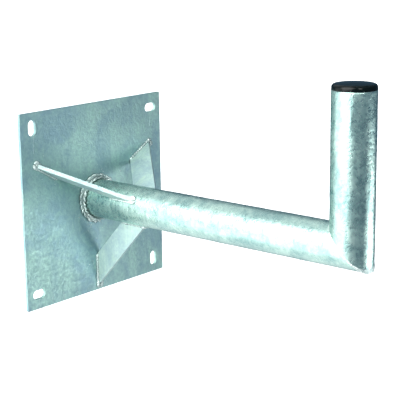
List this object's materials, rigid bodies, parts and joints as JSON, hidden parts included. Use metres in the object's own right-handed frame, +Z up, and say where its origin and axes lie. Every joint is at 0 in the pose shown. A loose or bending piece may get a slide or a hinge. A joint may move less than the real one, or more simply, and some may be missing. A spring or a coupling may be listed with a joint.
{
  "type": "satellite dish wall bracket",
  "caption": "Galvanised steel wall bracket for a satellite dish: square slotted plate, round arm with flat bar braces, short upright mast and a plastic end cap.",
  "frame": {"origin": "centre of the plate's back face, on the arm's axis", "axes": "+Z up along the mast, +Y into the wall, -Y along the arm away from the wall, +X to the right seen from the mast"},
  "size_m": [0.3, 0.5112, 0.3672],
  "materials": {
    "galvanised_plate": "hot-dip galvanised, satin",
    "galvanised_tube": "hot-dip galvanised, satin",
    "galvanised_bar": "hot-dip galvanised, satin",
    "galvanised_weld": "rippled weld bead under zinc",
    "cap_plastic": "black gloss"
  },
  "bodies": {
    "bracket": {"wall_plate": "galvanised_plate", "arm_tube": "galvanised_tube", "mast_tube": "galvanised_tube", "left_brace": "galvanised_bar", "right_brace": "galvanised_bar", "lower_brace": "galvanised_bar", "arm_root_weld": "galvanised_weld", "mitre_weld": "galvanised_weld", "left_brace_plate_weld_1": "galvanised_weld", "left_brace_plate_weld_2": "galvanised_weld", "left_brace_tube_weld_1": "galvanised_weld", "left_brace_tube_weld_2": "galvanised_weld", "right_brace_plate_weld_1": "galvanised_weld", "right_brace_plate_weld_2": "galvanised_weld", "right_brace_tube_weld_1": "galvanised_weld", "right_brace_tube_weld_2": "galvanised_weld", "lower_brace_plate_weld_1": "galvanised_weld", "lower_brace_plate_weld_2": "galvanised_weld", "lower_brace_tube_weld_1": "galvanised_weld", "lower_brace_tube_weld_2": "galvanised_weld"},
    "cap": {"end_cap": "cap_plastic"}
  },
  "joints": [
    {"name": "cap_pull", "type": "slide", "parent": "bracket", "child": "cap", "axis": [0, 0, 1], "range_m": [0, 0.06]}
  ]
}
